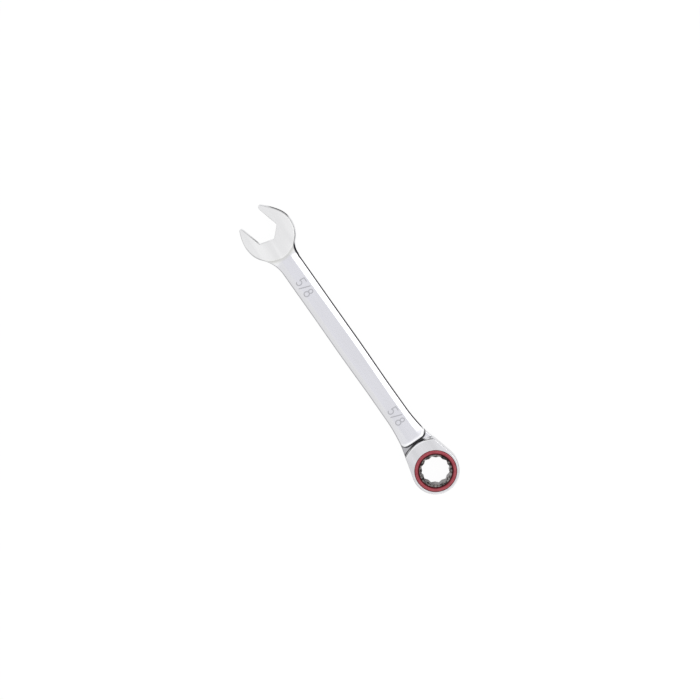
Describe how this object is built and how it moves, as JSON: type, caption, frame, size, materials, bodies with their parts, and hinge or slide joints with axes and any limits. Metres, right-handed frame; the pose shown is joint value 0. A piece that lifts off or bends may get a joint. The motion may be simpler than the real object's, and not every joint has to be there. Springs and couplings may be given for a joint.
{
  "type": "ratcheting combination wrench",
  "caption": "Long double-ended hand wrench with an angled open end, a slim bevelled shank and a 12-point ratcheting ring end.",
  "frame": {"origin": "on the axis of the 12-point socket, in the plane of the ratchet head's back face", "axes": "+X along the shank towards the jaws, +Z along the socket's axis out of the cover ring's face, +Y to the side that the jaws lean to"},
  "size_m": [0.209, 0.0326, 0.0104],
  "materials": {
    "chromed_forging": "polished chrome with satin faces on both heads",
    "blackened_gear": "blackened and lightly oiled",
    "hardened_pawl": "ground and hardened",
    "spring_wire": "bright drawn wire",
    "red_ring": "satin red anodised",
    "clip_wire": "blued spring wire"
  },
  "bodies": {
    "wrench": {"wrench_body": "chromed_forging", "cover_ring": "red_ring", "retaining_clip": "clip_wire", "pawl_spring": "spring_wire"},
    "gear": {"ratchet_gear": "blackened_gear"},
    "pawl": {"pawl": "hardened_pawl"}
  },
  "joints": [
    {"name": "gear_spin", "type": "hinge", "parent": "wrench", "child": "gear", "pos_m": [0, 0, 0], "axis": [0, 0, 1], "continuous": true},
    {"name": "pawl_slide", "type": "slide", "parent": "wrench", "child": "pawl", "axis": [1, 0, 0], "range_m": [0, 0.0007], "stiffness_N_per_m": 400, "springref_m": -0.002, "deforming": ["pawl_spring"]}
  ]
}
